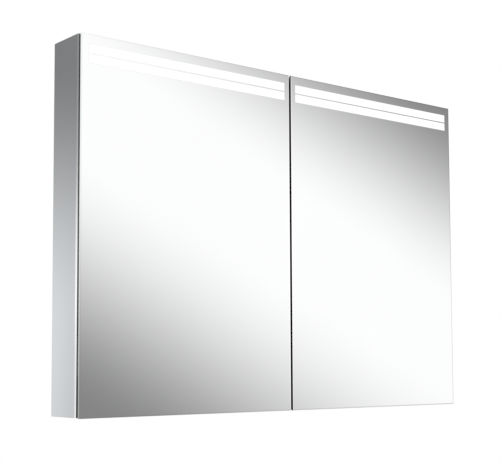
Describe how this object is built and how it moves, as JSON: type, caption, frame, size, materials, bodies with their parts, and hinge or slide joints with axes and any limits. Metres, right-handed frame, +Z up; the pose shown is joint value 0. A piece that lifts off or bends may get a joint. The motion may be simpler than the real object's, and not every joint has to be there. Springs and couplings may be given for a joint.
{
  "type": "medicine cabinet with mirror",
  "caption": "Wide shallow wall cabinet with a pair of hinged mirror doors, lit frosted windows along their top and glass shelves inside.",
  "frame": {"origin": "centre of the back face, on the wall plane", "axes": "+X to the right for someone facing the doors, +Y into the wall, +Z up"},
  "size_m": [1, 0.1, 0.7],
  "materials": {
    "side_aluminium": "satin anodised",
    "panel_aluminium": "satin anodised",
    "stile_aluminium": "satin anodised",
    "side_mirror": "polished",
    "door_mirror": "polished, with frosted light windows",
    "inner_mirror": "polished",
    "shelf_glass": "clear, polished edges",
    "steel": "nickel plated",
    "pin_chrome": "polished",
    "white_metal": "satin powder coat",
    "opal_light": "opal, lit from behind",
    "lamp_board": "white solder mask",
    "grey_plastic": "fine grain",
    "white_plastic": "smooth",
    "gland_rubber": "matt"
  },
  "bodies": {
    "cabinet": {"back_mirror_left": "inner_mirror", "back_mirror_right": "inner_mirror", "back_panel": "white_metal", "bottom_panel": "panel_aluminium", "cable_gland": "gland_rubber", "centre_partition": "panel_aluminium", "glass_shelf_left_lower": "shelf_glass", "glass_shelf_left_upper": "shelf_glass", "glass_shelf_right_lower": "shelf_glass", "glass_shelf_right_upper": "shelf_glass", "hinge_body_leaf_left_lower": "steel", "hinge_body_leaf_left_upper": "steel", "hinge_body_leaf_right_lower": "steel", "hinge_body_leaf_right_upper": "steel", "led_board": "lamp_board", "led_driver": "grey_plastic", "light_diffuser": "opal_light", "light_housing": "white_metal", "magnet_catch_left": "grey_plastic", "magnet_catch_right": "grey_plastic", "shelf_pin_centre_lower_front": "pin_chrome", "shelf_pin_centre_lower_rear": "pin_chrome", "shelf_pin_centre_upper_front": "pin_chrome", "shelf_pin_centre_upper_rear": "pin_chrome", "shelf_pin_left_lower_front": "pin_chrome", "shelf_pin_left_lower_rear": "pin_chrome", "shelf_pin_left_upper_front": "pin_chrome", "shelf_pin_left_upper_rear": "pin_chrome", "shelf_pin_right_lower_front": "pin_chrome", "shelf_pin_right_lower_rear": "pin_chrome", "shelf_pin_right_upper_front": "pin_chrome", "shelf_pin_right_upper_rear": "pin_chrome", "side_mirror_left": "side_mirror", "side_mirror_right": "side_mirror", "side_profile_left": "side_aluminium", "side_profile_right": "side_aluminium", "socket_housing": "white_plastic", "socket_insert": "grey_plastic", "switch_plate": "white_plastic", "top_panel": "panel_aluminium", "wall_hanger_left": "steel", "wall_hanger_right": "steel"},
    "door_left": {"door_inner_mirror_left": "inner_mirror", "door_light_strip_left": "opal_light", "door_mirror_left": "door_mirror", "door_stile_left": "stile_aluminium", "hinge_door_leaf_left_lower": "steel", "hinge_door_leaf_left_upper": "steel", "strike_plate_left": "steel"},
    "door_right": {"door_inner_mirror_right": "inner_mirror", "door_light_strip_right": "opal_light", "door_mirror_right": "door_mirror", "door_stile_right": "stile_aluminium", "hinge_door_leaf_right_lower": "steel", "hinge_door_leaf_right_upper": "steel", "strike_plate_right": "steel"},
    "rocker": {"switch_rocker": "white_plastic"}
  },
  "joints": [
    {"name": "door_left_hinge", "type": "hinge", "parent": "cabinet", "child": "door_left", "pos_m": [-0.4978, -0.0937, 0], "axis": [0, 0, -1], "range_deg": [0, 105]},
    {"name": "door_right_hinge", "type": "hinge", "parent": "cabinet", "child": "door_right", "pos_m": [0.4978, -0.0937, 0], "axis": [0, 0, 1], "range_deg": [0, 105]},
    {"name": "switch_rocker_tilt", "type": "hinge", "parent": "cabinet", "child": "rocker", "pos_m": [0.4785, -0.046, -0.236], "axis": [0, -1, 0], "range_deg": [0, 12]}
  ]
}
